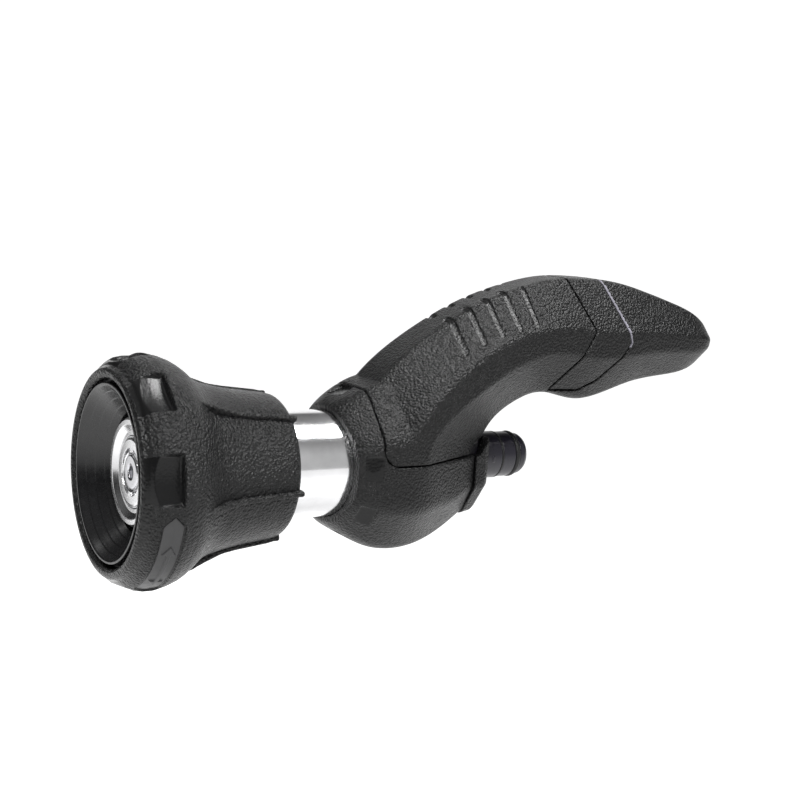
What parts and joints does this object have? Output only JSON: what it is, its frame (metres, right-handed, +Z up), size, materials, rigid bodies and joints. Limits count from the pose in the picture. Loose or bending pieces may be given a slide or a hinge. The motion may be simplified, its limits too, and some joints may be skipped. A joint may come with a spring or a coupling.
{
  "type": "hose spray nozzle",
  "caption": "Twist-head garden hose nozzle with a flared rubber bell, bright barrel, ball-shaped housing, arched soft grip and a quick-connect inlet.",
  "frame": {"origin": "on the barrel axis at the middle of the inlet nipple's cylindrical land", "axes": "+X along the barrel axis towards the hose, so water leaves towards -X; +Z up, towards the arched grip; the grip is symmetric about Y = 0"},
  "size_m": [0.2555, 0.0786, 0.1083],
  "materials": {
    "soft_rubber": "pebbled soft-touch",
    "hard_core": "moulded",
    "gloss_black": "polished",
    "purple_plastic": "satin",
    "trim_grey": "satin",
    "bright_aluminium": "polished",
    "turned_aluminium": "turned",
    "brass": "machined",
    "steel": "machined",
    "seal_rubber": "smooth"
  },
  "bodies": {
    "nozzle_base": {"barrel_tube": "bright_aluminium", "inner_barrel": "brass", "spigot_seal": "seal_rubber", "spider": "brass", "stem": "steel", "deflector_plate": "turned_aluminium", "jet_insert": "turned_aluminium", "deflector_screw": "steel", "deflector_seal": "seal_rubber", "housing_shell": "soft_rubber", "inlet_cap": "soft_rubber", "flow_core": "hard_core", "housing_ribs": "hard_core", "hose_nipple": "purple_plastic", "nipple_ring_main": "seal_rubber", "nipple_ring_thin": "seal_rubber", "inlet_filter": "steel", "grip_cover": "soft_rubber", "middle_band": "soft_rubber", "seam_trim": "trim_grey", "rear_grip": "soft_rubber", "grip_core_left": "hard_core", "grip_core_right": "hard_core", "grip_screws": "steel"},
    "head_slide": {"glide_ring": "hard_core"},
    "spray_head": {"head_grip": "soft_rubber", "twist_label": "hard_core", "head_core": "hard_core", "spray_cup": "gloss_black", "throat_seat": "hard_core", "drive_nut": "brass"}
  },
  "joints": [
    {"name": "head_travel", "type": "slide", "parent": "nozzle_base", "child": "head_slide", "axis": [1, 0, 0], "range_m": [-0.002, 0.005]},
    {"name": "head_twist", "type": "hinge", "parent": "head_slide", "child": "spray_head", "pos_m": [-0.12, 0, 0], "axis": [1, 0, 0], "range_deg": [-68, 171]}
  ],
  "couplings": [
    {"joint": "head_travel", "follows": "head_twist", "m_per_rad": 0.0016711}
  ]
}
